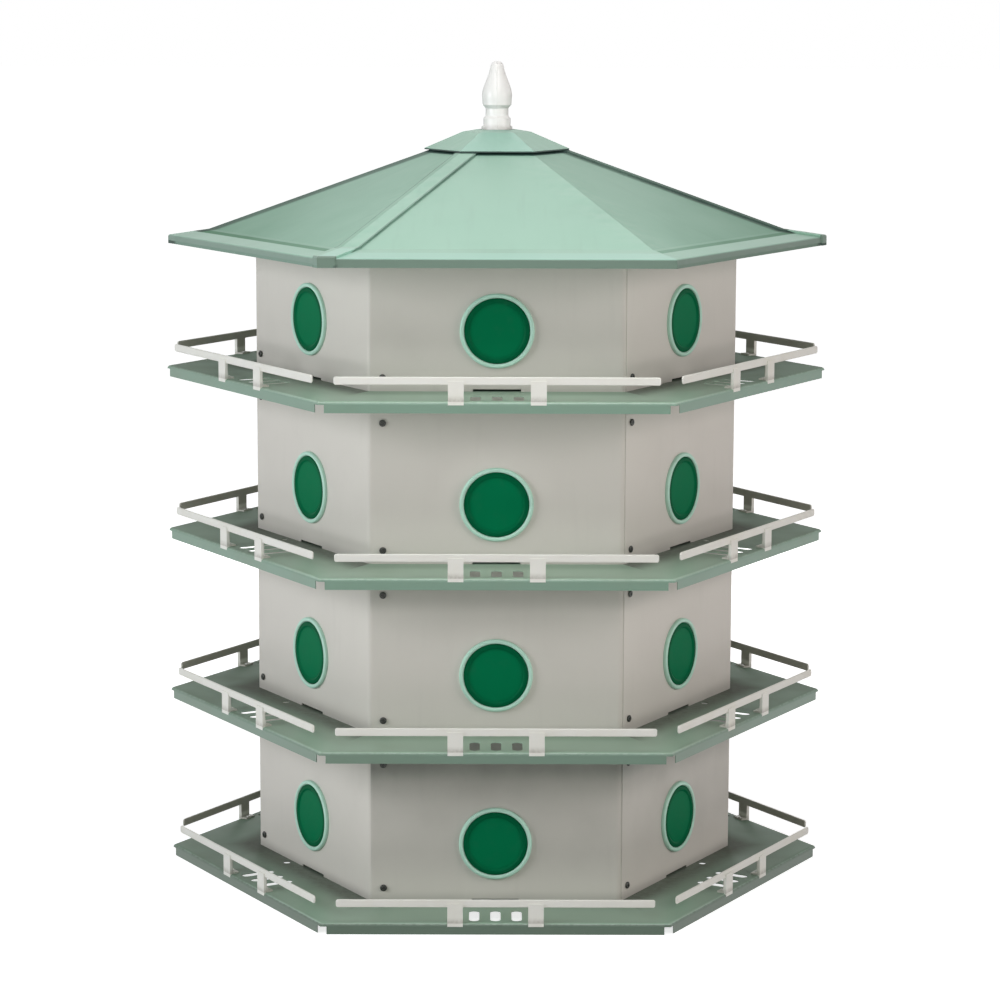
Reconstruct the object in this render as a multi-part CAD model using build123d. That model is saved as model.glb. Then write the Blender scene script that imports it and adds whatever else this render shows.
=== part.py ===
# Four storey hexagonal martin house in folded sheet aluminium.
# Millimetres, Z up, the house stands on the lip of its lowest porch tray at Z = 0.
# The front side faces -Y, and each side is named for the way its outside looks.
import math
import os

from build123d import *

# the house
STOREYS = 4
STOREY_PITCH = 152.4
WALL_SIDE = 223.0
PORCH_SIDE = 305.0
SHEET = 0.8

# porch tray
TRAY_LIP = 10.0
TRAY_BEND = 3.0
TRAY_NOTCH = 4.7
SLOTS_PER_SIDE = 3
SLOT_WIDTH = 9.0
SLOT_LENGTH = 32.0
SLOT_SPACING = 18.6
SLOT_INSET = 24.0
DRAIN_RADIUS = 3.5
DRAIN_OFFSET = 40.0
DRAIN_WALL_GAP = 3.5

# wall panels
TOP_WALL_HEIGHT = 140.8
WALL_EDGE_GAP = 2.3
WALL_BEND = 6.0
WALL_FLANGE = 19.0
ENTRANCE_HEIGHT = 53.0
ENTRANCE_RADIUS = 27.0
VENT_WIDTH = 42.0
VENT_HEIGHT = 2.0

# entrance ring
RING_FLANGE = 5.5
RING_PROUD = 3.4
RING_SEAT = 1.0
RING_WALL = 1.6
RING_NECK = 4.0
RING_ROUND = 1.6

# door stop
STOP_RING_SHOWS = 4.0
STOP_GAP = 0.2
STOP_THICK = 1.8
STOP_WALL = 1.5
STOP_DISH = 1.0
STOP_RIM = 2.6
STOP_DISH_SLOPE = 1.6
STOP_EDGE = 0.8
STOP_SKIRT = 9.0

# guard rails
RAIL_HEIGHT = 21.0
RAIL_BAR = 7.0
RAIL_THICK = 2.0
RAIL_EDGE = 0.7
RAIL_INSET = 1.0
RAIL_END_GAP = 13.0
RAIL_CORNER = 2.0
POST_WIDTH = 13.5
POST_OFFSET = 35.2
POST_FOOT = 9.0
FOOT_THICK = 1.5

# roof
ROOF_SLOPE = 0.416
EAVE_RADIUS = 302.8
FLARE_WIDTH = 38.0
FLARE_DROP = 5.4
DRIP_LIP = 8.0
DRIP_EDGE = 1.2
SEAM_LAP = 13.0
SEAM_FOLD = 7.0
SEAM_THICK = 1.6

# cap, pole sleeve and finial
CAP_RADIUS = 66.5
CAP_SHEET = 1.2
CAP_RIM_GAP = 2.0
CAP_SLOPE = 0.495
CAP_SHOULDER = 27.0
CAP_TOP_SLOPE = 0.19
CAP_FLAT = 16.0
POLE_RADIUS = 19.5
SLEEVE_WALL = 1.5
FINIAL_FOOT_RADIUS = 14.2
FINIAL_FOOT_HEIGHT = 3.0
FINIAL_BEAD_RADIUS = 12.6
FINIAL_BEAD_HEIGHT = 10.0
FINIAL_NECK_RADIUS = 10.6
FINIAL_NECK_BOTTOM = 12.5
FINIAL_NECK_TOP = 19.0
FINIAL_BULB_START = 13.4
FINIAL_BULB_BOTTOM = 22.5
FINIAL_BULB_RADIUS = 13.9
FINIAL_BULB_HEIGHT = 31.0
FINIAL_TIP_RADIUS = 6.6
FINIAL_TIP_HEIGHT = 55.0
FINIAL_HEIGHT = 62.0

COS30 = math.cos(math.radians(30))
SIN30 = math.sin(math.radians(30))
TAN30 = math.tan(math.radians(30))
WALL_OUT = WALL_SIDE * COS30
PORCH_OUT = PORCH_SIDE * COS30
EAVE_OUT = EAVE_RADIUS * COS30
FLARE_OUT = EAVE_OUT - FLARE_WIDTH * COS30
RING_RADIUS = ENTRANCE_RADIUS + RING_FLANGE
STOP_RADIUS = RING_RADIUS - STOP_RING_SHOWS
SLEEVE_RADIUS = POLE_RADIUS + SLEEVE_WALL
# a thickness square to the roof takes this much more height
ROOF_STRETCH = math.sqrt(1.0 + ROOF_SLOPE * ROOF_SLOPE)
TOP_FLOOR = (STOREYS - 1) * STOREY_PITCH + TRAY_LIP
ROOF_PEAK = TOP_FLOOR + TOP_WALL_HEIGHT + SHEET * ROOF_STRETCH + ROOF_SLOPE * WALL_OUT
# plan cuts reach past every sheet, and height cuts past the finial
FAR_OUT = 2.0 * max(PORCH_SIDE, EAVE_RADIUS)
FAR_UP = 2.0 * ROOF_PEAK

SIDE_NAMES = ["front", "front_right", "back_right", "back", "back_left", "front_left"]
STOREY_NAMES = ["first", "second", "third", "fourth", "fifth", "sixth"]


def turned(shape, sides):
    """Turn a shape drawn for the front by a number of sides, anticlockwise from above."""
    return shape.rotate(Axis.Z, 60 * sides)


def floor_height(storey):
    """Height of the porch floor of a storey."""
    return storey * STOREY_PITCH + TRAY_LIP


def hexagon_points(radius):
    """Corners of a hexagon with a flat side to the front."""
    return [
        (radius * math.cos(math.radians(60 * k)), radius * math.sin(math.radians(60 * k)))
        for k in range(6)
    ]


def level_face(points, height):
    """Level face inside a closed outline of plan points."""
    return make_face(Polyline(*[(x, y, height) for x, y in points], close=True)).face()


def prism(points, bottom, top):
    """Upright solid over a closed outline of plan points."""
    return extrude(level_face(points, bottom), amount=top - bottom, dir=(0, 0, 1))


def along_front(section, half_length):
    """Solid with a constant section, given as distance out and height, along the front side."""
    face = make_face(Polyline(*[(-half_length, -out, z) for out, z in section], close=True))
    return extrude(face, amount=2 * half_length, dir=(1, 0, 0))


def hexagon_cone(low_out, low_height, high_out, high_height):
    """Solid between two level hexagons, given by the distances out to their sides."""
    low = level_face(hexagon_points(low_out / COS30), low_height)
    high = level_face(hexagon_points(high_out / COS30), high_height)
    return Solid.make_loft([low.outer_wire(), high.outer_wire()], ruled=True)


def bent_strip(start, corner, end, thick, radius, bottom, top):
    """Upright sheet from start to end in plan, bent at the corner, its thickness to the left."""
    first = (Vector(*corner) - Vector(*start)).normalized()
    second = (Vector(*end) - Vector(*corner)).normalized()
    first_left = Vector(-first.Y, first.X)
    second_left = Vector(-second.Y, second.X)
    mitre = first_left + second_left
    mitre = mitre * (2.0 / mitre.length ** 2)
    inner = [
        Vector(*start) + first_left * thick,
        Vector(*corner) + mitre * thick,
        Vector(*end) + second_left * thick,
    ]
    outline = Curve() + [
        FilletPolyline(start, corner, end, radius=radius),
        FilletPolyline(*inner, radius=radius - thick),
        Line(start, inner[0]),
        Line(end, inner[2]),
    ]
    strip = extrude(make_face(outline), amount=top - bottom, dir=(0, 0, 1))
    return strip.translate((0, 0, bottom))


def on_entrance(shape, storey):
    """Set a shape turned about Z on a front entrance, its +Z looking out of the wall."""
    return Pos(0, -WALL_OUT, floor_height(storey) + ENTRANCE_HEIGHT) * Rot(90, 0, 0) * shape


def turned_profile(points):
    """Solid of revolution about Z from a closed outline of radius and height."""
    return revolve(make_face(Polyline(*[(r, 0, z) for r, z in points], close=True)), Axis.Z)


def tray_block():
    """The room a tray takes up as a solid block, with the bend of its lip at the top."""
    block = prism(hexagon_points(PORCH_SIDE), 0, TRAY_LIP)
    return fillet(block.edges().group_by(Axis.Z)[-1], TRAY_BEND)


def make_tray():
    """Hexagonal porch floor with folded lips, notched lip corners, slots and drain holes."""
    outer = tray_block()
    inner = prism(hexagon_points(PORCH_SIDE - SHEET / COS30), -TRAY_LIP, TRAY_LIP - SHEET)
    inner = fillet(inner.edges().group_by(Axis.Z)[-1], TRAY_BEND - SHEET)
    lip = TRAY_LIP - TRAY_BEND
    notch = Pos(PORCH_SIDE, 0, 0) * Box(4 * TRAY_NOTCH, 2 * TRAY_NOTCH, 2 * lip)
    cuts = [notch.rotate(Axis.Z, 60 * k) for k in range(6)]
    slot = extrude(Rot(0, 0, 90) * SlotOverall(SLOT_LENGTH, SLOT_WIDTH), amount=2 * TRAY_LIP)
    drain = Cylinder(DRAIN_RADIUS, 4 * TRAY_LIP)
    drain_out = WALL_OUT + DRAIN_WALL_GAP + DRAIN_RADIUS
    for side in range(6):
        for i in range(SLOTS_PER_SIDE):
            x = (i - (SLOTS_PER_SIDE - 1) / 2) * SLOT_SPACING
            cuts.append(turned(slot.translate((x, -(PORCH_OUT - SLOT_INSET), 0)), side))
        # the drains gather towards the left and right tips of the tray
        half = 1 if side in (0, 1, 4) else -1
        cuts.append(turned(drain.translate((half * DRAIN_OFFSET, -drain_out, 0)), side))
    cuts.append(Cylinder(SLEEVE_RADIUS, 4 * TRAY_LIP))
    return (outer - inner) - cuts


def under_roof():
    """All the room under the roof sheets."""
    drop = SHEET * ROOF_STRETCH
    flare = roof_height(FLARE_OUT) - drop
    eave = flare - FLARE_DROP
    top = roof_height(SLEEVE_RADIUS) - drop
    room = prism(hexagon_points(EAVE_RADIUS), 0, eave) + hexagon_cone(EAVE_OUT, eave, FLARE_OUT, flare)
    return room + hexagon_cone(FLARE_OUT, flare, SLEEVE_RADIUS, top)


def make_wall(storey):
    """Front wall panel of a storey, bent round the corner on its right into a flange."""
    bottom = floor_height(storey)
    top = floor_height(storey + 1) - SHEET
    # the flange lies just under the next panel, so the bend is where those two planes cross
    bend_x = (WALL_OUT - SHEET - WALL_OUT * SIN30) / COS30
    start = (-WALL_SIDE / 2 + WALL_EDGE_GAP, -WALL_OUT)
    corner = (bend_x, -WALL_OUT)
    end = (bend_x + WALL_FLANGE * SIN30, -WALL_OUT + WALL_FLANGE * COS30)
    panel = bent_strip(start, corner, end, SHEET, WALL_BEND, bottom, top)
    if storey == STOREYS - 1:
        panel = panel & under_roof()
    entrance = on_entrance(Cylinder(ENTRANCE_RADIUS, 4 * ENTRANCE_RADIUS), storey)
    vent = Pos(0, -WALL_OUT, bottom) * Box(VENT_WIDTH, 4 * WALL_BEND, 2 * VENT_HEIGHT)
    return panel - [entrance, vent]


def make_ring():
    """Ring that lines an entrance and covers its cut edge, with the wall's outside at height 0."""
    bore = ENTRANCE_RADIUS - RING_WALL
    seat = STOP_RADIUS + STOP_GAP
    ring = turned_profile(
        [
            (bore, -RING_NECK),
            (ENTRANCE_RADIUS, -RING_NECK),
            (ENTRANCE_RADIUS, 0),
            (RING_RADIUS, 0),
            (RING_RADIUS, RING_PROUD),
            (seat, RING_PROUD),
            (seat, RING_SEAT),
            (bore, RING_SEAT),
        ]
    )
    return fillet(ring.edges().filter_by(GeomType.CIRCLE).group_by(Axis.Z)[-1], RING_ROUND)


def make_stop():
    """Dished door stop that sits inside the bead of the entrance ring, on a hollow skirt."""
    skirt = ENTRANCE_RADIUS - RING_WALL
    back = RING_SEAT
    front = back + STOP_THICK
    dish = front - STOP_DISH
    rim = STOP_RADIUS - STOP_EDGE - STOP_RIM
    stop = turned_profile(
        [
            (0, dish - STOP_WALL),
            (skirt - STOP_WALL, dish - STOP_WALL),
            (skirt - STOP_WALL, back - STOP_SKIRT),
            (skirt, back - STOP_SKIRT),
            (skirt, back),
            (STOP_RADIUS, back),
            (STOP_RADIUS, front),
            (rim, front),
            (rim - STOP_DISH_SLOPE, dish),
            (0, dish),
        ]
    )
    rim_edge = stop.edges().filter_by(GeomType.CIRCLE).group_by(Axis.Z)[-1].sort_by(SortBy.RADIUS)[-1]
    return fillet(rim_edge, STOP_EDGE)


def make_rail():
    """Lowest front guard rail: a long bar on two posts that reach over the bend of the tray."""
    out = PORCH_OUT - RAIL_INSET
    half_length = out * TAN30 - RAIL_END_GAP
    bar_height = TRAY_LIP + RAIL_HEIGHT - RAIL_BAR / 2
    bar = Pos(0, RAIL_THICK / 2 - out, bar_height) * Box(2 * half_length, RAIL_THICK, RAIL_BAR)
    bar = fillet(bar.edges().filter_by(Axis.Y), RAIL_CORNER)
    bar = chamfer(bar.edges().filter_by(Axis.X), RAIL_EDGE)
    # posts and feet as distance out and height, their underside cut to the tray
    bottom = TRAY_LIP - TRAY_BEND
    back = out - RAIL_THICK
    foot_top = TRAY_LIP + FOOT_THICK
    section = [
        (PORCH_OUT, bottom),
        (PORCH_OUT, bar_height),
        (back, bar_height),
        (back, foot_top),
        (PORCH_OUT - POST_FOOT, foot_top),
        (PORCH_OUT - POST_FOOT, bottom),
    ]
    post = along_front(section, POST_WIDTH / 2) - tray_block()
    return bar + [post.translate((side * POST_OFFSET, 0, 0)) for side in (-1, 1)]


def roof_height(out):
    """Height of the upper face of the straight part of the roof, at a distance out."""
    return ROOF_PEAK - ROOF_SLOPE * out


def roof_section(raised, thick):
    """Section of one roof side from the peak to the drip lip, raised off the plain sheet."""
    lift = raised * ROOF_STRETCH
    drop = thick * ROOF_STRETCH
    flare_top = roof_height(FLARE_OUT) + lift
    eave_top = flare_top - FLARE_DROP
    lip_bottom = eave_top - DRIP_LIP - lift
    out = EAVE_OUT + raised
    return [
        (0, roof_height(0) + lift),
        (FLARE_OUT, flare_top),
        (out - DRIP_EDGE, eave_top),
        (out, eave_top - DRIP_EDGE),
        (out, lip_bottom),
        (out - thick, lip_bottom),
        (out - thick, eave_top - drop),
        (FLARE_OUT, flare_top - drop),
        (0, roof_height(0) + lift - drop),
    ]


def roof_side(sides, raised, thick, outlines):
    """One side of the roof, kept inside plan outlines that are drawn for the front side."""
    side = along_front(roof_section(raised, thick), FAR_OUT)
    for outline in outlines:
        side = side & prism(outline, 0, FAR_UP)
    return turned(side, sides)


def beside_hip(hand, width):
    """Plan strip beside the right (1) or left (-1) hip of the front side."""
    hip = Vector(hand * SIN30, -COS30) * FAR_OUT
    inward = Vector(-hand * COS30, -SIN30) * width
    return [(0, 0), (hip.X, hip.Y), (hip.X + inward.X, hip.Y + inward.Y), (inward.X, inward.Y)]


def make_roof_sheet(last):
    """Two neighbouring roof sides in one sheet, lapped over the next side in a raised seam."""
    wedge = [(0, 0), (-FAR_OUT * TAN30, -FAR_OUT), (FAR_OUT * TAN30, -FAR_OUT)]
    sheet = roof_side(last, 0, SHEET, [wedge]) + roof_side(last - 1, 0, SHEET, [wedge])
    fold = roof_side(last, SEAM_THICK, SEAM_THICK, [wedge, beside_hip(1, SEAM_FOLD)])
    lap = roof_side(last + 1, SEAM_THICK, SEAM_THICK, [wedge, beside_hip(-1, SEAM_LAP)])
    return (sheet + fold + lap) - Cylinder(SLEEVE_RADIUS, 2 * FAR_UP)


def cap_height(out):
    """Height of the underside of the cap at a distance out."""
    edge_out = CAP_RADIUS * COS30
    top_out = max(min(out, CAP_SHOULDER), CAP_FLAT)
    rise = CAP_SLOPE * (edge_out - max(out, CAP_SHOULDER)) + CAP_TOP_SLOPE * (CAP_SHOULDER - top_out)
    return roof_height(edge_out) + CAP_RIM_GAP + rise


def cap_block(raised):
    """Solid from the level of the cap's rim up to its underside, raised by a sheet or nothing."""
    edge_out = CAP_RADIUS * COS30
    edge, shoulder, top = [cap_height(out) for out in (edge_out, CAP_SHOULDER, CAP_FLAT)]
    lower = hexagon_cone(edge_out, edge + raised, CAP_SHOULDER, shoulder + raised)
    upper = hexagon_cone(CAP_SHOULDER, shoulder + raised, CAP_FLAT, top + raised)
    rim = [prism(hexagon_points(CAP_RADIUS), edge, edge + raised)] if raised else []
    return lower + [upper] + rim


def make_cap():
    """Hexagonal cap over the roof, steeper near its rim and flat in the middle for the finial."""
    return cap_block(CAP_SHEET * ROOF_STRETCH) - cap_block(0)


def make_finial():
    """Turned finial with a stepped foot, a neck and an acorn shaped bulb."""
    profile = Curve() + [
        Polyline(
            (0, 0, FINIAL_HEIGHT),
            (0, 0, 0),
            (FINIAL_FOOT_RADIUS, 0, 0),
            (FINIAL_FOOT_RADIUS, 0, FINIAL_FOOT_HEIGHT),
            (FINIAL_BEAD_RADIUS, 0, FINIAL_FOOT_HEIGHT),
            (FINIAL_BEAD_RADIUS, 0, FINIAL_BEAD_HEIGHT),
            (FINIAL_NECK_RADIUS, 0, FINIAL_NECK_BOTTOM),
            (FINIAL_NECK_RADIUS, 0, FINIAL_NECK_TOP),
            (FINIAL_BULB_START, 0, FINIAL_BULB_BOTTOM),
        ),
        Spline(
            (FINIAL_BULB_START, 0, FINIAL_BULB_BOTTOM),
            (FINIAL_BULB_RADIUS, 0, FINIAL_BULB_HEIGHT),
            (FINIAL_TIP_RADIUS, 0, FINIAL_TIP_HEIGHT),
            (0, 0, FINIAL_HEIGHT),
            tangents=[(0, 0, 1), (-1, 0, 0)],
        ),
    ]
    seat = cap_height(0) + CAP_SHEET * ROOF_STRETCH
    return Pos(0, 0, seat) * revolve(make_face(profile), Axis.Z)


def make_sleeve():
    """Tube through the middle of the house that takes the mounting pole."""
    return extrude(Circle(SLEEVE_RADIUS) - Circle(POLE_RADIUS), amount=cap_height(SLEEVE_RADIUS))


def save(name, shapes):
    """Write one node, made of one or more separate solids."""
    solids = [solid for shape in shapes for solid in shape.solids()]
    node = solids[0] if len(solids) == 1 else Compound(children=solids)
    node.label = name
    export_step(node, os.path.join("parts", name + ".step"))


def all_round(shape):
    """The same shape on each of the six sides."""
    return [turned(shape, side) for side in range(6)]


os.makedirs("parts", exist_ok=True)

tray = make_tray()
rails = all_round(make_rail())
ring = make_ring()
stop = make_stop()
walls = [make_wall(storey) for storey in range(STOREYS)]

save("pole_sleeve", [make_sleeve()])
for storey in range(STOREYS):
    prefix = STOREY_NAMES[storey] + "_storey_"
    raised = (0, 0, storey * STOREY_PITCH)
    save(prefix + "tray", [tray.translate(raised)])
    save(prefix + "guard_rails", [rail.translate(raised) for rail in rails])
    save(prefix + "entrance_rings", all_round(on_entrance(ring, storey)))
    save(prefix + "door_stops", all_round(on_entrance(stop, storey)))
for side in range(6):
    save(SIDE_NAMES[side] + "_walls", [turned(wall, side) for wall in walls])
save("roof_front_sheet", [make_roof_sheet(1)])
save("roof_back_sheet", [make_roof_sheet(3)])
save("roof_left_sheet", [make_roof_sheet(5)])
save("roof_cap", [make_cap()])
save("finial", [make_finial()])
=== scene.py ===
import math

import bpy
from mathutils import Euler, Matrix, Vector


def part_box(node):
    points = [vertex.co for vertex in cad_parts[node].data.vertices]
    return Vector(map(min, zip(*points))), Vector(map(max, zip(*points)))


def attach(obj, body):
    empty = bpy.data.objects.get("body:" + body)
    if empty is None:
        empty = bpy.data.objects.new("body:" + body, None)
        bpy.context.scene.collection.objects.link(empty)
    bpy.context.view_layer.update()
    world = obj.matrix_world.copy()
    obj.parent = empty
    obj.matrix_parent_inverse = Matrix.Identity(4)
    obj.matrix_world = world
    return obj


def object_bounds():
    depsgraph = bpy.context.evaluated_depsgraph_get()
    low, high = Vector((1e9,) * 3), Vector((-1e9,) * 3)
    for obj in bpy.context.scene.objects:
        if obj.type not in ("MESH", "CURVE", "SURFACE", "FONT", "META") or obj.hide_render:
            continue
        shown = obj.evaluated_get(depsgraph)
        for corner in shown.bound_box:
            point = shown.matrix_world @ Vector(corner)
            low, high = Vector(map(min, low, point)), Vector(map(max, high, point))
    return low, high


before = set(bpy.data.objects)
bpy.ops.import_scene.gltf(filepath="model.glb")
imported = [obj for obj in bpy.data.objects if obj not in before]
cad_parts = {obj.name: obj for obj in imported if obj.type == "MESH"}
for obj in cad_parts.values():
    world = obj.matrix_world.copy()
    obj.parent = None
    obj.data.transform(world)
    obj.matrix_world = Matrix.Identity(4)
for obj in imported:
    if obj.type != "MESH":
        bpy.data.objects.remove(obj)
cad_low, cad_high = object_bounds()

# The camera looks slightly down at the front side of the house, a little from the left,
# through a long lens.
CAMERA_PLACE = (-0.0124, -2.9905, 0.8149)
CAMERA_PITCH = math.radians(-9.0)
CAMERA_YAW = -0.0055
CAMERA_ROLL = 0.0036
LENS_MM = 116.67
SENSOR_MM = 36.0

camera_data = bpy.data.cameras.new("camera")
camera_data.lens = LENS_MM
camera_data.sensor_width = SENSOR_MM
camera = bpy.data.objects.new("camera", camera_data)
bpy.context.scene.collection.objects.link(camera)
camera_turn = Euler((math.pi / 2 + CAMERA_PITCH, 0.0, CAMERA_YAW)).to_matrix().to_4x4()
camera.matrix_world = (
    Matrix.Translation(CAMERA_PLACE) @ camera_turn @ Matrix.Rotation(CAMERA_ROLL, 4, "Z")
)
bpy.context.scene.camera = camera
bpy.context.scene.view_settings.view_transform = "Standard"

# Soft studio light from square panels in front of the house, at both sides, over the roof and
# behind it, and from dim walls all round, which the world stands for. The floor is white card
# and glows, more so farther away.
HOUSE_MIDDLE = (cad_low + cad_high) / 2
WALL_LIGHT = 0.075
SEEN_WHITE = 1.0
FLOOR_WIDTH = 60.0
FLOOR_ALBEDO = 0.8
FLOOR_GLOW = 0.75
FLOOR_NEAR = 0.45
FLOOR_FAR = 1.0
# the place, width, power in watts and tint of each panel
STUDIO_PANELS = {
    "top_panel": ((0.0, 1.7, 3.0), 2.4, 16.0, (1.0, 1.0, 1.0)),
    "roof_panel": ((0.0, -0.55, 1.15), 0.4, 3.4, (1.0, 1.0, 1.0)),
    "front_panel": ((0.0, -1.35, 0.80), 0.7, 2.2, (1.0, 1.0, 1.0)),
    "left_panel": ((-1.5, -0.87, 0.75), 0.8, 13.6, (0.99, 1.01, 1.06)),
    "right_panel": ((1.5, -0.87, 0.75), 0.8, 9.2, (1.06, 0.98, 0.98)),
    "back_panel": ((0.0, 1.9, 0.30), 0.5, 8.0, (1.0, 1.0, 1.0)),
}


class Signal:
    """One output of a shader node. Arithmetic on it adds Math nodes to its material."""

    def __init__(self, tree, socket):
        self.tree = tree
        self.socket = socket

    def node(self, kind, settings, inputs, output=0):
        """Any other node of the same material: its settings are set first, then its inputs."""
        made = self.tree.nodes.new(kind)
        for name, value in settings.items():
            setattr(made, name, value)
        for name, value in inputs.items():
            if isinstance(value, Signal):
                self.tree.links.new(value.socket, made.inputs[name])
            else:
                made.inputs[name].default_value = value
        return Signal(self.tree, made.outputs[output])

    def maths(self, operation, *values):
        """A Math node on signals or numbers."""
        return self.node("ShaderNodeMath", {"operation": operation}, dict(enumerate(values)))

    def __add__(self, other):
        return self.maths("ADD", self, other)

    def __radd__(self, other):
        return self.maths("ADD", other, self)

    def __sub__(self, other):
        return self.maths("SUBTRACT", self, other)

    def __rsub__(self, other):
        return self.maths("SUBTRACT", other, self)

    def __mul__(self, other):
        return self.maths("MULTIPLY", self, other)

    def __rmul__(self, other):
        return self.maths("MULTIPLY", other, self)

    def __truediv__(self, other):
        return self.maths("DIVIDE", self, other)

    def __mod__(self, other):
        return self.maths("FLOORED_MODULO", self, other)


def light_paths(tree):
    """1 where the camera, a mirror or a glass looks at a surface, and 0 for the light it gives."""
    paths = tree.nodes.new("ShaderNodeLightPath")
    camera_ray = Signal(tree, paths.outputs["Is Camera Ray"])
    glossy_ray = Signal(tree, paths.outputs["Is Glossy Ray"])
    through_ray = Signal(tree, paths.outputs["Is Transmission Ray"])
    looking = camera_ray.maths("MAXIMUM", camera_ray, glossy_ray)
    return looking.maths("MAXIMUM", looking, through_ray)


world = bpy.data.worlds.new("studio_walls")
bpy.context.scene.world = world
world.use_nodes = True
backdrop = world.node_tree.nodes["Background"]
seen = light_paths(world.node_tree)
world_strength = seen * (SEEN_WHITE - WALL_LIGHT) + WALL_LIGHT
backdrop.inputs["Color"].default_value = (1.0, 1.0, 1.0, 1.0)
world.node_tree.links.new(world_strength.socket, backdrop.inputs["Strength"])

for panel_name, (panel_place, panel_size, panel_power, panel_tint) in STUDIO_PANELS.items():
    panel_data = bpy.data.lights.new(panel_name, "AREA")
    panel_data.shape = "SQUARE"
    panel_data.size = panel_size
    panel_data.energy = panel_power
    panel_data.color = panel_tint
    panel = bpy.data.objects.new(panel_name, panel_data)
    bpy.context.scene.collection.objects.link(panel)
    panel.location = panel_place
    panel.rotation_euler = (HOUSE_MIDDLE - Vector(panel_place)).to_track_quat("-Z", "Y").to_euler()

bpy.ops.object.select_all(action="DESELECT")
bpy.ops.mesh.primitive_plane_add(size=FLOOR_WIDTH, location=(0.0, 0.0, 0.0))
floor = bpy.context.object
floor.name = "white_floor"
card = bpy.data.materials.new("white_card")
card.use_nodes = True
card_shader = card.node_tree.nodes["Principled BSDF"]
card_shader.inputs["Base Color"].default_value = (FLOOR_ALBEDO, FLOOR_ALBEDO, FLOOR_ALBEDO, 1.0)
card_shader.inputs["Roughness"].default_value = 1.0
card_shader.inputs["Specular IOR Level"].default_value = 0.0
card_shader.inputs["Emission Strength"].default_value = 1.0
card_point = Signal(card.node_tree, card.node_tree.nodes.new("ShaderNodeTexCoord").outputs["Object"])
card_distance = card_point.node("ShaderNodeVectorMath", {"operation": "LENGTH"}, {0: card_point}, "Value")
card_far = card_distance.node(
    "ShaderNodeMapRange", {}, {"Value": card_distance, "From Min": FLOOR_NEAR, "From Max": FLOOR_FAR}
)
card_glow = light_paths(card.node_tree) * (card_far * (1.0 - FLOOR_GLOW) + FLOOR_GLOW)
card_colour = card_glow.node("ShaderNodeCombineXYZ", {}, {0: card_glow, 1: card_glow, 2: card_glow})
card.node_tree.links.new(card_colour.socket, card_shader.inputs["Emission Color"])
floor.data.materials.append(card)


# The porch trays are pans of aluminium sheet, folded down all round and painted green. Their
# floors carry dust and a painted light, and dirt with painted shade by the walls, at the sides and
# at the back. The lips of the lower storeys get a painted shade, and all rub a little paler along the
# bend.
STOREYS = ("first", "second", "third", "fourth")
SIDES = ("front", "front_right", "back_right", "back", "back_left", "front_left")
SIDE_ANGLE = math.radians(60.0)
# the front side's number is 0, those beside it are 1 and -1, and masks step between these
STILL_FRONT = 0.4
NOT_FRONT = 0.6
TRAY_PAINT = (0.175, 0.285, 0.213, 1.0)
LOW_LIP_SHADE = (0.060, 0.090, 0.060, 1.0)
FLOOR_LIGHT_AND_DUST = (0.435, 0.607, 0.460, 1.0)
DUST_AND_SHADE_COLOUR = (0.20, 0.18, 0.13, 1.0)
WALL_SHADE_AND_DIRT = (0.085, 0.085, 0.070, 1.0)
FAR_SHADE_AND_DIRT = (0.060, 0.085, 0.058, 1.0)
PALE_RUB = (0.50, 0.60, 0.54, 1.0)
PAINT_ROUGHNESS = 0.34
PAINT_SHINE = 0.5
PAINT_PEEL_SIZE = 0.0016
PAINT_PEEL_DEPTH = 0.00004
TRAY_CLOUD_SIZE = 0.06
TRAY_GRIT_SIZE = 0.004
FLOOR_FACE = (-0.002, -0.0004)
WALL_SHADE_WIDTH = 0.034
LIP_RUB_WIDTH = 0.0022
LIP_FACE = 0.0012
DARK_LIP_STOREYS = 1.9
FAR_SIDE = (0.16, 0.25)
FAR_BACK = (-0.05, 0.04)

tray_low, tray_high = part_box("first_storey_tray")
storey_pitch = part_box("second_storey_tray")[1].z - tray_high.z
porch_floor = tray_high.z
porch_out = -tray_low.y
wall_out = -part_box("front_walls")[0].y


def start_finish(name, roughness, metallic=0.0, specular=0.5):
    """New material, its shader, and the point on the house as a vector signal."""
    material = bpy.data.materials.new(name)
    material.use_nodes = True
    tree = material.node_tree
    shader = tree.nodes["Principled BSDF"]
    shader.inputs["Roughness"].default_value = roughness
    shader.inputs["Metallic"].default_value = metallic
    shader.inputs["Specular IOR Level"].default_value = specular
    point = Signal(tree, tree.nodes.new("ShaderNodeTexCoord").outputs["Object"])
    return material, shader, point


def plug_in(shader, **signals):
    """Link signals to the shader's inputs, whose names are written with underscores."""
    for name, signal in signals.items():
        signal.tree.links.new(signal.socket, shader.inputs[name.replace("_", " ")])


def split(point):
    """The x, y and z of a vector signal."""
    return [point.node("ShaderNodeSeparateXYZ", {}, {0: point}, k) for k in range(3)]


def house_place(point):
    """Distance along the side, distance out from the axis, height, and the side's number."""
    x, y, z = split(point)
    angle = point.maths("ARCTAN2", y, x) + math.pi / 2 + SIDE_ANGLE / 2
    within = angle % SIDE_ANGLE
    number = (angle - within) / SIDE_ANGLE
    turn = within - SIDE_ANGLE / 2
    radius = point.maths("SQRT", x * x + y * y)
    along = radius * point.maths("SINE", turn)
    out = radius * point.maths("COSINE", turn)
    return along, out, z, number


def joined(point, *parts):
    """Three value signals, or numbers, as one vector signal."""
    return point.node("ShaderNodeCombineXYZ", {}, dict(enumerate(parts)))


def speckle(point, vector, size, detail=2.0):
    """Noise from 0 to 1 with features of about the given size in metres."""
    inputs = {"Vector": vector, "Scale": 1.0 / size, "Detail": detail}
    return point.node("ShaderNodeTexNoise", {}, inputs)


def fade(value, start, end):
    """Smooth step: 0 where the value is at start or beyond, and 1 at end."""
    settings = {"interpolation_type": "SMOOTHSTEP"}
    return value.node("ShaderNodeMapRange", settings, {"Value": value, "From Min": start, "From Max": end})


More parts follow.
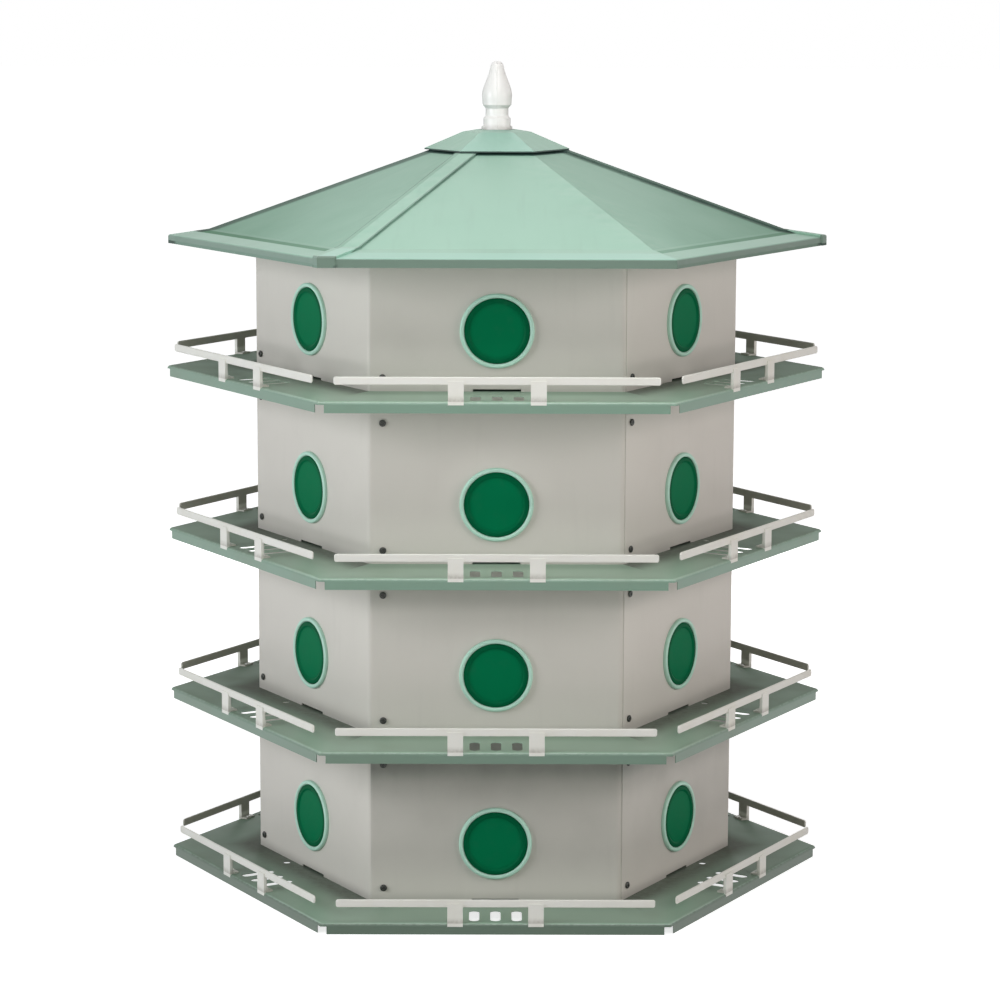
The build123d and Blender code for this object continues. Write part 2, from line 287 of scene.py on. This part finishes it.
def coloured(mask, under, over):
    """One colour under another, where both are colours or signals and the mask is a signal."""
    settings = {"data_type": "RGBA"}
    return mask.node("ShaderNodeMix", settings, {0: mask, 6: under, 7: over}, 2)


def raised(height, distance, normal=None):
    """Bump from a height signal that moves by up to the given distance in metres."""
    inputs = {"Strength": 1.0, "Distance": distance, "Height": height}
    if normal is not None:
        inputs["Normal"] = normal
    return height.node("ShaderNodeBump", {}, inputs)


def peeled(point, size, depth):
    """The fine orange peel of sprayed paint, or the grain of moulded plastic."""
    return raised(speckle(point, point, size), depth)


def dress(nodes, material):
    """Give CAD nodes their finish."""
    for node in nodes:
        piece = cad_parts[node]
        if not piece.material_slots:
            piece.data.materials.append(material)
        for place in piece.material_slots:
            place.material = material


porch_paint, porch_shader, point = start_finish("porch_paint", PAINT_ROUGHNESS, specular=PAINT_SHINE)
_, out, height, side = house_place(point)
x, y, _ = split(point)
storey_height = (height - porch_floor + storey_pitch / 2) % storey_pitch - storey_pitch / 2
clouds = speckle(point, point, TRAY_CLOUD_SIZE, 3.0)
grit = speckle(point, point, TRAY_GRIT_SIZE, 3.0)
on_top = fade(storey_height, *FLOOR_FACE)
by_wall = fade(out, wall_out + WALL_SHADE_WIDTH, wall_out + WALL_SHADE_WIDTH / 4) * on_top
beside_front = fade(side.maths("ABSOLUTE", side), STILL_FRONT, NOT_FRONT)
rubbed = fade(out, porch_out - LIP_RUB_WIDTH, porch_out - LIP_RUB_WIDTH / 3)
rubbed = rubbed * fade(storey_height, -LIP_RUB_WIDTH, -LIP_RUB_WIDTH / 3) * fade(grit, 0.35, 0.6) * 0.2
# the lips of the lower storeys, and a little their floors, are painted darker as painted shade
low_lip_shade = fade(out, porch_out - LIP_FACE, porch_out - LIP_FACE / 2) + on_top * 0.15
low_lip_shade = low_lip_shade * fade(height, storey_pitch * DARK_LIP_STOREYS, 0.0)
# the floors at the sides and at the back get painted shade with dirt
far_away = fade(x.maths("ABSOLUTE", x), *FAR_SIDE) + fade(y, *FAR_BACK)
far_away = far_away.maths("MINIMUM", far_away, 1.0) * on_top
# the floors by the walls get painted shade with dirt, more on the sides than in front
wall_shade_and_dirt = by_wall * (beside_front * 0.6 + 0.2) * (grit * 0.6 + 0.7)
# the floor tops are painted lighter, a painted light with some dust
porch_colour = coloured(on_top * (clouds * 0.3 + 0.4), TRAY_PAINT, FLOOR_LIGHT_AND_DUST)
porch_colour = coloured(fade(clouds, 0.45, 0.75) * 0.16, porch_colour, DUST_AND_SHADE_COLOUR)
porch_colour = coloured(far_away * (clouds * 0.4 + 0.4), porch_colour, FAR_SHADE_AND_DIRT)
porch_colour = coloured(wall_shade_and_dirt, porch_colour, WALL_SHADE_AND_DIRT)
porch_colour = coloured(low_lip_shade * 0.75, porch_colour, LOW_LIP_SHADE)
porch_colour = coloured(rubbed, porch_colour, PALE_RUB)
plug_in(
    porch_shader,
    Base_Color=porch_colour,
    Roughness=clouds * 0.12 + (PAINT_ROUGHNESS - 0.06) + by_wall * 0.2 + far_away * 0.35,
    Normal=peeled(point, PAINT_PEEL_SIZE, PAINT_PEEL_DEPTH),
)
dress([storey + "_storey_tray" for storey in STOREYS], porch_paint)


# The pole sleeve is a bare aluminium tube through the middle of the house, drawn, so its
# fine lines run up and down.
SLEEVE_METAL = (0.70, 0.71, 0.73, 1.0)
SLEEVE_DULL = (0.60, 0.61, 0.62, 1.0)
DRAW_LINE_WIDTH = 0.0008
DRAW_LINE_SHRINK = (1.0, 1.0, 0.02)
DRAW_LINE_DEPTH = 0.00002
SLEEVE_CLOUD_SIZE = 0.03

sleeve_metal, sleeve_shader, point = start_finish("drawn_aluminium", 0.35, 1.0)
drawn = point.node("ShaderNodeMapping", {}, {"Vector": point, "Scale": DRAW_LINE_SHRINK})
draw_lines = speckle(point, drawn, DRAW_LINE_WIDTH)
sleeve_clouds = speckle(point, point, SLEEVE_CLOUD_SIZE, 3.0)
plug_in(
    sleeve_shader,
    Base_Color=coloured(fade(sleeve_clouds, 0.3, 0.8), SLEEVE_METAL, SLEEVE_DULL),
    Roughness=draw_lines * 0.2 + 0.25,
    Normal=raised(draw_lines, DRAW_LINE_DEPTH),
)
dress(["pole_sleeve"], sleeve_metal)


# The wall panels are white painted aluminium sheet. Each is bent round the corner on its
# right and laps over the next flange on its left, held by two screws. Painted shade greys the
# lower storeys, most of all under the porch above, and the front left side least; the foot of
# each panel gets dirt and painted shade, and grime adds faint streaks and clouds.
WALL_PAINT = (0.715, 0.684, 0.622, 1.0)
WALL_SHADE_AND_GRIME = (0.17, 0.18, 0.155, 1.0)
WALL_CLOUD_SIZE = 0.05
WALL_PEEL_DEPTH = 0.00003
STREAK_WIDTH = 0.012
STREAK_SHRINK = 0.12
OIL_CAN_SIZE = 0.11
OIL_CAN_DEPTH = 0.0010
# moves the noise on, in metres, from one side to the next
SIDE_SHIFT = 3.0
FOOT_SHADE_AND_GRIME = 0.010
LOWEST_SHADE = 0.070
SECOND_SHADE = 0.046
FULL_SHADE = 0.030
LOWEST_STOREY_SHADE = (0.01, 0.05)
TOP_STOREY_SHADE = (0.11, 0.04)

wall_paint, wall_shader, point = start_finish("wall_paint", 0.5, specular=0.3)
along, out, height, side = house_place(point)
storey_height = (height - porch_floor) % storey_pitch
own_along = along + side * SIDE_SHIFT
streaks = speckle(point, joined(point, own_along, 0.0, height * STREAK_SHRINK), STREAK_WIDTH, 3.0)
clouds = speckle(point, point, WALL_CLOUD_SIZE, 4.0)
waves = speckle(point, joined(point, own_along, out, height), OIL_CAN_SIZE, 1.0)
# the foot of each storey's panels darkens with dirt and painted shade
foot = fade(storey_height, FOOT_SHADE_AND_GRIME, 0.0) * 0.25
lowest_storey = fade(height, storey_pitch + porch_floor, storey_pitch)
two_storeys = fade(height, 2 * storey_pitch + porch_floor, 2 * storey_pitch)
top_storey = fade(height, 3 * storey_pitch + porch_floor - 0.001, 3 * storey_pitch + porch_floor)
front_top_storey = top_storey * fade(side.maths("ABSOLUTE", side), NOT_FRONT, STILL_FRONT)
# painted shade greys the lowest two storeys under the porch above, and the lowest storey all over, least
# on the front left side, and the lower part of the front's top storey
full_shade = storey_pitch - FULL_SHADE
shade = fade(storey_height, storey_pitch - LOWEST_SHADE, full_shade) * lowest_storey * 0.27
shade = shade + fade(storey_height, storey_pitch - SECOND_SHADE, full_shade) * two_storeys * 0.22
shade = shade + fade(storey_height, *LOWEST_STOREY_SHADE) * lowest_storey * 0.28
shade = shade * (fade(side, -STILL_FRONT, -NOT_FRONT) * -0.8 + 1.0)
shade = shade + fade(storey_height, *TOP_STOREY_SHADE) * front_top_storey * 0.13
shade_and_grime = (foot + shade) * (clouds * 0.6 + 0.7) + fade(streaks, 0.55, 0.8) * 0.03
shade_and_grime = shade_and_grime + fade(clouds, 0.5, 0.8) * 0.03
plug_in(
    wall_shader,
    Base_Color=coloured(shade_and_grime, WALL_PAINT, WALL_SHADE_AND_GRIME),
    Roughness=clouds * 0.14 + 0.38,
    Normal=raised(waves, OIL_CAN_DEPTH, peeled(point, PAINT_PEEL_SIZE, WALL_PEEL_DEPTH)),
)
dress([side_name + "_walls" for side_name in SIDES], wall_paint)


# The screws through the wall laps are small pan heads in dark zinc with a cross slot, one near
# the foot and one near the top of each panel, on its left edge.
SCREW_METAL = (0.030, 0.035, 0.030, 1.0)
SCREW_TARNISH = (0.09, 0.09, 0.08, 1.0)
SCREW_RADIUS = 0.0031
SCREW_HEIGHT = 0.0019
SCREW_EDGE = 0.0009
SCREW_TARNISH_SIZE = 0.0015
CROSS_LENGTH = 0.0036
CROSS_WIDTH = 0.0008
CROSS_DEPTH = 0.0012
SCREW_FROM_CORNER = 0.0120
SCREW_LOW = 0.0120
SCREW_HIGH = 0.1245
SCREW_UNDER_ROOF = 0.1175
SMOOTH_ANGLE = math.radians(40.0)
# the slots point anyhow, because they turn on from storey to storey, side to side and low to high
TURN_PER_STOREY = 0.7
TURN_PER_SIDE = 1.9
TURN_PER_RISE = 11.0
wall_side = 2.0 * wall_out * math.tan(SIDE_ANGLE / 2)


def only_active(piece):
    """Select one object alone, ready to be edited."""
    bpy.ops.object.select_all(action="DESELECT")
    piece.select_set(True)
    bpy.context.view_layer.objects.active = piece


def add_modifier(piece, kind, **settings):
    """Add a modifier and apply it at once."""
    modifier = piece.modifiers.new(kind, kind)
    for name, value in settings.items():
        setattr(modifier, name, value)
    only_active(piece)
    bpy.ops.object.modifier_apply(modifier=modifier.name)


def copies(pattern, name, places, material):
    """Copy a modelled piece to each place and join the copies into one piece."""
    made = []
    for place in places:
        copy = pattern.copy()
        copy.data = pattern.data.copy()
        bpy.context.scene.collection.objects.link(copy)
        copy.matrix_world = place
        made.append(copy)
    bpy.ops.object.select_all(action="DESELECT")
    for copy in made:
        copy.select_set(True)
    bpy.context.view_layer.objects.active = made[0]
    bpy.ops.object.join()
    piece = bpy.context.object
    bpy.ops.object.transform_apply(location=True, rotation=True, scale=True)
    piece.name = name
    piece.data.name = name
    piece.data.materials.clear()
    piece.data.materials.append(material)
    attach(piece, "root")


def on_side(number, x, out, z, tilt=math.pi / 2):
    """Place on one side of the house. The piece's own Z looks out, or up where the tilt is 0."""
    spot = Matrix.Translation((x, -out, z)) @ Matrix.Rotation(tilt, 4, "X")
    return Matrix.Rotation(number * SIDE_ANGLE, 4, "Z") @ spot


screw_metal, screw_shader, point = start_finish("dark_zinc", 0.4, 0.3)
tarnish = speckle(point, point, SCREW_TARNISH_SIZE, 2.0)
screw_colour = coloured(fade(tarnish, 0.35, 0.7), SCREW_METAL, SCREW_TARNISH)
plug_in(screw_shader, Base_Color=screw_colour, Roughness=tarnish * 0.3 + 0.3)

bpy.ops.object.select_all(action="DESELECT")
bpy.ops.mesh.primitive_cylinder_add(
    vertices=24, radius=SCREW_RADIUS, depth=SCREW_HEIGHT, location=(0.0, 0.0, SCREW_HEIGHT / 2)
)
screw = bpy.context.object
bpy.ops.object.transform_apply(location=True, rotation=True, scale=True)
add_modifier(screw, "BEVEL", width=SCREW_EDGE, segments=3, limit_method="ANGLE", affect="EDGES")
for turn in (0.0, math.pi / 2):
    bpy.ops.object.select_all(action="DESELECT")
    bpy.ops.mesh.primitive_cube_add(size=1.0, location=(0.0, 0.0, SCREW_HEIGHT), rotation=(0.0, 0.0, turn))
    cutter = bpy.context.object
    cutter.scale = (CROSS_LENGTH, CROSS_WIDTH, 2 * CROSS_DEPTH)
    bpy.ops.object.transform_apply(location=True, rotation=True, scale=True)
    add_modifier(screw, "BOOLEAN", operation="DIFFERENCE", object=cutter, solver="EXACT")
    bpy.data.objects.remove(cutter)
only_active(screw)
bpy.ops.object.shade_smooth_by_angle(angle=SMOOTH_ANGLE)

for number, side_name in enumerate(SIDES):
    places = []
    for storey in range(len(STOREYS)):
        high = SCREW_UNDER_ROOF if storey == len(STOREYS) - 1 else SCREW_HIGH
        for rise in (SCREW_LOW, high):
            spot = porch_floor + storey * storey_pitch + rise
            place = on_side(number, SCREW_FROM_CORNER - wall_side / 2, wall_out, spot)
            turn = TURN_PER_STOREY * (storey + 1) + TURN_PER_SIDE * number
            turn = turn + TURN_PER_RISE * rise / SCREW_RADIUS
            places.append(place @ Matrix.Rotation(turn, 4, "Z"))
    copies(screw, side_name + "_wall_screws", places, screw_metal)
bpy.data.objects.remove(screw)


# The entrance rings are pale green plastic, pushed into the wall's holes so that their flange
# covers the cut edge. The flange is darker where it meets the wall, with dust in patches.
RING_MINT = (0.52, 0.80, 0.66, 1.0)
RING_DARK_START = 0.0009
RING_DARK_END = 0.0001
RING_CLOUD_SIZE = 0.01
RING_GRAIN_SIZE = 0.0012
RING_GRAIN_DEPTH = 0.00002

ring_plastic, ring_shader, point = start_finish("mint_plastic", 0.5, specular=0.4)
_, out, _, _ = house_place(point)
ring_clouds = speckle(point, point, RING_CLOUD_SIZE, 3.0)
# the flange is darker where it meets the wall
ring_darkening = fade(out, wall_out + RING_DARK_START, wall_out + RING_DARK_END) * 0.35
ring_darkening = ring_darkening + fade(ring_clouds, 0.5, 0.8) * 0.08
plug_in(
    ring_shader,
    Base_Color=coloured(ring_darkening, RING_MINT, DUST_AND_SHADE_COLOUR),
    Roughness=ring_clouds * 0.15 + 0.42,
    Normal=peeled(point, RING_GRAIN_SIZE, RING_GRAIN_DEPTH),
)
dress([storey + "_storey_entrance_rings" for storey in STOREYS], ring_plastic)


# The door stops are dished discs of glossy green plastic, moulded with fine turning marks,
# that push into the rings to close the rooms. Towards the rim they get a painted shade, where
# the ring shades the dished disc.
STOP_GREEN = (0.0010, 0.178, 0.070, 1.0)
STOP_RIM_SHADE = (0.0008, 0.085, 0.033, 1.0)
STOP_SCUFF = (0.05, 0.16, 0.10, 1.0)
STOP_CLOUD_SIZE = 0.012
STOP_GRAIN_SIZE = 0.0015
STOP_GRAIN_DEPTH = 0.00002
MOULD_MARK_PITCH = 0.0011
MOULD_MARK_DEPTH = 0.00003
DARK_START = 0.72
DARK_END = 0.96
entrance_low, entrance_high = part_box("first_storey_entrance_rings")
entrance_height = (entrance_low.z + entrance_high.z) / 2 - porch_floor
stop_low, stop_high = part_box("first_storey_door_stops")
stop_radius = (stop_high.z - stop_low.z) / 2

stop_plastic, stop_shader, point = start_finish("green_gloss_plastic", 0.38, specular=0.02)
along, _, height, _ = house_place(point)
up = (height - porch_floor) % storey_pitch - entrance_height
from_centre = point.maths("SQRT", along * along + up * up)
mould_marks = point.maths("SINE", from_centre * (2.0 * math.pi / MOULD_MARK_PITCH)) * 0.5 + 0.5
stop_clouds = speckle(point, point, STOP_CLOUD_SIZE, 3.0)
# painted shade darkens the rim, where the ring shades the dished disc
rim_shade = fade(from_centre, stop_radius * DARK_START, stop_radius * DARK_END)
stop_colour = coloured(rim_shade * 0.8, STOP_GREEN, STOP_RIM_SHADE)
stop_colour = coloured(fade(stop_clouds, 0.5, 0.85) * 0.12, stop_colour, STOP_SCUFF)
plug_in(
    stop_shader,
    Base_Color=stop_colour,
    Roughness=stop_clouds * 0.2 + 0.3,
    Normal=raised(mould_marks, MOULD_MARK_DEPTH, peeled(point, STOP_GRAIN_SIZE, STOP_GRAIN_DEPTH)),
)
dress([storey + "_storey_door_stops" for storey in STOREYS], stop_plastic)


# The guard rails are white plastic strips on two posts each, moulded in one piece and
# riveted to the porch floor through the feet. They have yellowed in patches and are dirty at
# the feet, and the side that faces the house gets a painted shade.
RAIL_WHITE = (0.77, 0.77, 0.71, 1.0)
RAIL_YELLOW = (0.68, 0.66, 0.55, 1.0)
RAIL_CLOUD_SIZE = 0.03
RAIL_GRIT_SIZE = 0.003
RAIL_GRAIN_SIZE = 0.0018
RAIL_GRAIN_DEPTH = 0.00003
FOOT_DIRT = 0.006
INNER_START = 0.0024
INNER_END = 0.0028
INNER_RISE = (0.004, 0.008)

rail_plastic, rail_shader, point = start_finish("rail_plastic", 0.5, specular=0.4)
_, out, height, _ = house_place(point)
storey_height = (height - porch_floor) % storey_pitch
rail_clouds = speckle(point, point, RAIL_CLOUD_SIZE, 3.0)
rail_grit = speckle(point, point, RAIL_GRIT_SIZE, 2.0)
foot_darkening = fade(storey_height, FOOT_DIRT, 0.0) * (rail_grit * 0.6 + 0.1)
# the side that faces the house gets a painted shade
inner_face_shade = fade(out, porch_out - INNER_START, porch_out - INNER_END) * fade(storey_height, *INNER_RISE)
rail_colour = coloured(fade(rail_clouds, 0.4, 0.8) * 0.3, RAIL_WHITE, RAIL_YELLOW)
rail_colour = coloured(foot_darkening + inner_face_shade * 0.6, rail_colour, DUST_AND_SHADE_COLOUR)
plug_in(
    rail_shader,
    Base_Color=rail_colour,
    Roughness=rail_clouds * 0.2 + 0.4,
    Normal=peeled(point, RAIL_GRAIN_SIZE, RAIL_GRAIN_DEPTH),
)
dress([storey + "_storey_guard_rails" for storey in STOREYS], rail_plastic)


# Small domed rivets of bare aluminium hold the feet of the rails to the porch floors, one
# through each foot.
RIVET_METAL = (0.60, 0.60, 0.58, 1.0)
RIVET_RADIUS = 0.0021
RIVET_HEIGHT = 0.0010
RIVET_TARNISH_SIZE = 0.002
RIVET_FROM_LIP = 0.0060
FOOT_THICK = 0.0015
POST_OFFSET = 0.0352

rivet_metal, rivet_shader, point = start_finish("rivet_aluminium", 0.4, 0.9)
tarnish = speckle(point, point, RIVET_TARNISH_SIZE, 2.0)
rivet_colour = coloured(fade(tarnish, 0.4, 0.8) * 0.6, RIVET_METAL, DUST_AND_SHADE_COLOUR)
plug_in(rivet_shader, Base_Color=rivet_colour, Roughness=tarnish * 0.3 + 0.3)

bpy.ops.object.select_all(action="DESELECT")
bpy.ops.mesh.primitive_uv_sphere_add(segments=16, ring_count=8, radius=RIVET_RADIUS)
rivet = bpy.context.object
rivet.scale.z = RIVET_HEIGHT / RIVET_RADIUS
bpy.ops.object.transform_apply(location=True, rotation=True, scale=True)
only_active(rivet)
bpy.ops.object.shade_smooth()

for storey, storey_name in enumerate(STOREYS):
    spot = porch_floor + storey * storey_pitch + FOOT_THICK
    places = [
        on_side(number, hand * POST_OFFSET, porch_out - RIVET_FROM_LIP, spot, 0.0)
        for number in range(len(SIDES))
        for hand in (-1, 1)
    ]
    copies(rivet, storey_name + "_storey_rail_rivets", places, rivet_metal)
bpy.data.objects.remove(rivet)


# The roof is three double sheets of the same painted aluminium, bent over one hip and lapped
# in a seam over the next, with a hexagonal cap on top. Hand folding leaves them a little wavy.
ROOF_PAINT = (0.263, 0.459, 0.350, 1.0)
CAP_FRONT_LIGHT = (0.295, 0.510, 0.410, 1.0)
ROOF_SIDE_SHADE = (0.050, 0.160, 0.085, 1.0)
ROOF_GREY = (0.12, 0.14, 0.13, 1.0)
LIP_SHADE = (0.114, 0.182, 0.137, 1.0)
LEFT_LIP_SHADE = (0.166, 0.260, 0.205, 1.0)
HIP_GREY = (0.05, 0.07, 0.06, 1.0)
DARK_LINE = (0.02, 0.05, 0.04, 1.0)
ROOF_SLOPE = 0.416
ROOF_CLOUD_SIZE = 0.07
ROOF_STREAK_WIDTH = 0.010
ROOF_STREAK_SHRINK = 0.1
ROOF_WAVE_SIZE = 0.09
ROOF_WAVE_DEPTH = 0.0016
CAP_GAP = 0.0020
CAP_SHADE = 0.0020
PROUD_START = CAP_GAP + 0.0009
PROUD_END = CAP_GAP + 0.0013
ROOF_ENDS = (0.10, 0.28)
CREASE_FROM_EAVE = 0.0285
CREASE_FADE = 0.002
EAVE_LIP_START = 0.0026
EAVE_LIP_END = 0.0018
HALF_STEP = 0.001
SEAM_LAP = 0.0130
SEAM_FOLD = 0.0070
SEAM_LINE = 0.0008
SIDE_HIP = (SEAM_FOLD * 2.4, SEAM_FOLD * 1.4)
SEAM_BUCKLE_WIDTH = 0.050
SEAM_BUCKLE_SIZE = 0.018
SEAM_BUCKLE_DEPTH = 0.0016
cap_low, cap_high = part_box("roof_cap")
eave_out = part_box("roof_back_sheet")[1].y

roof_paint, roof_shader, point = start_finish("roof_paint", PAINT_ROUGHNESS, specular=PAINT_SHINE)
along, out, height, side = house_place(point)
x, y, _ = split(point)
own_along = along + side * SIDE_SHIFT
clouds = speckle(point, point, ROOF_CLOUD_SIZE, 3.0)
down_slope = joined(point, own_along, out * ROOF_STREAK_SHRINK, 0.0)
streaks = speckle(point, down_slope, ROOF_STREAK_WIDTH, 3.0)
flat_place = joined(point, own_along, out, 0.0)
waves = speckle(point, flat_place, ROOF_WAVE_SIZE, 1.0)
turned_away = fade(side.maths("ABSOLUTE", side), STILL_FRONT, NOT_FRONT)
front_left = fade(side, -STILL_FRONT, -NOT_FRONT)
# the cap and the outer part of the flares stand proud of the plane of the sheets
over_roof = height - (cap_low.z - CAP_GAP) + (out - cap_high.y) * ROOF_SLOPE
proud = fade(over_roof, PROUD_START, PROUD_END)
# painted shade darkens the side sheets, most at the ends on both sides and along the crease near
# the start of the side flares, and their proud parts least, while the front keeps its colour
crease = fade(out, eave_out - CREASE_FROM_EAVE - CREASE_FADE, eave_out - CREASE_FROM_EAVE) * turned_away
crease = crease * (front_left * 0.12 + 0.33)
side_shade = turned_away * 0.28 + fade(x.maths("ABSOLUTE", x), *ROOF_ENDS) * 0.32 + crease
side_shade = side_shade * (1.0 - proud) + proud * turned_away * 0.10
roof_dust = fade(streaks, 0.5, 0.85) * 0.10 + fade(clouds, 0.5, 0.85) * 0.10
roof_colour = coloured(roof_dust, ROOF_PAINT, ROOF_GREY)
roof_colour = coloured(side_shade * (clouds * 0.4 + 0.8), roof_colour, ROOF_SIDE_SHADE)
# the cap and the outer flares in front get a painted light
roof_colour = coloured(proud * (1.0 - turned_away), roof_colour, CAP_FRONT_LIGHT)
# the lips of the eaves get a painted shade, least at the left, and the hips at both ends are greyer
on_lip = fade(out, eave_out - EAVE_LIP_START, eave_out - EAVE_LIP_END)
roof_colour = coloured(on_lip, roof_colour, coloured(front_left, LIP_SHADE, LEFT_LIP_SHADE))
on_side_hip = fade(y.maths("ABSOLUTE", y), *SIDE_HIP) * (1.0 - proud)
roof_colour = coloured(on_side_hip * (clouds * 0.4 + 0.55), roof_colour, HIP_GREY)
# painted shade with some dirt lines the seam edges, and a painted shadow lies under the cap rim
from_hip = out * math.tan(SIDE_ANGLE / 2) - along.maths("ABSOLUTE", along)
beside_seam = from_hip * math.cos(SIDE_ANGLE / 2)
odd_side = side % 2.0
lap_edge = beside_seam.maths("ABSOLUTE", beside_seam - SEAM_LAP)
lap_edge = fade(lap_edge, SEAM_LINE * 2, SEAM_LINE) * fade(along, 0.0, -HALF_STEP) * (1.0 - odd_side)
fold_edge = beside_seam.maths("ABSOLUTE", beside_seam - SEAM_FOLD)
fold_edge = fade(fold_edge, SEAM_LINE * 2, SEAM_LINE) * fade(along, 0.0, HALF_STEP) * odd_side
rim_shadow = (1.0 - proud) * fade(out, cap_high.y + CAP_SHADE, cap_high.y + CAP_SHADE / 2)
seam_and_rim_shade = (lap_edge + fold_edge) * (clouds * 0.6 + 0.2) * (1.0 - proud) + rim_shadow
roof_colour = coloured(seam_and_rim_shade.maths("MINIMUM", seam_and_rim_shade, 1.0), roof_colour, DARK_LINE)
buckles = speckle(point, flat_place, SEAM_BUCKLE_SIZE, 1.0) * fade(from_hip, SEAM_BUCKLE_WIDTH, 0.0)
buckled = raised(buckles, SEAM_BUCKLE_DEPTH, peeled(point, PAINT_PEEL_SIZE, PAINT_PEEL_DEPTH))
plug_in(
    roof_shader,
    Base_Color=roof_colour,
    Roughness=clouds * 0.12 + (PAINT_ROUGHNESS - 0.06) + side_shade * 0.35 + on_side_hip * 0.3,
    Normal=raised(waves, ROOF_WAVE_DEPTH, buckled),
)
dress(["roof_left_sheet", "roof_front_sheet", "roof_back_sheet", "roof_cap"], roof_paint)


# The finial is turned white plastic, screwed down through the cap. Its mould leaves a faint
# line up two sides, and round its foot it darkens with dirt and a painted shade.
FINIAL_WHITE = (0.78, 0.77, 0.745, 1.0)
FINIAL_CLOUD_SIZE = 0.008
FINIAL_GRAIN_SIZE = 0.002
FINIAL_GRAIN_DEPTH = 0.00002
FINIAL_FOOT_SHADE = 0.006
MOULD_LINE_WIDTH = 0.0006
MOULD_LINE_HEIGHT = 0.0002
finial_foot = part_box("finial")[0].z

finial_plastic, finial_shader, point = start_finish("finial_plastic", 0.32)
x, _, z = split(point)
mould_line = fade(x.maths("ABSOLUTE", x), MOULD_LINE_WIDTH, 0.0)
finial_clouds = speckle(point, point, FINIAL_CLOUD_SIZE, 3.0)
# round the foot: dirt and a painted shade
foot_darkening = fade(z, finial_foot + FINIAL_FOOT_SHADE, finial_foot) * (finial_clouds * 0.7)
plug_in(
    finial_shader,
    Base_Color=coloured(foot_darkening, FINIAL_WHITE, DUST_AND_SHADE_COLOUR),
    Roughness=finial_clouds * 0.15 + 0.25,
    Normal=raised(mould_line, MOULD_LINE_HEIGHT, peeled(point, FINIAL_GRAIN_SIZE, FINIAL_GRAIN_DEPTH)),
)
dress(["finial"], finial_plastic)
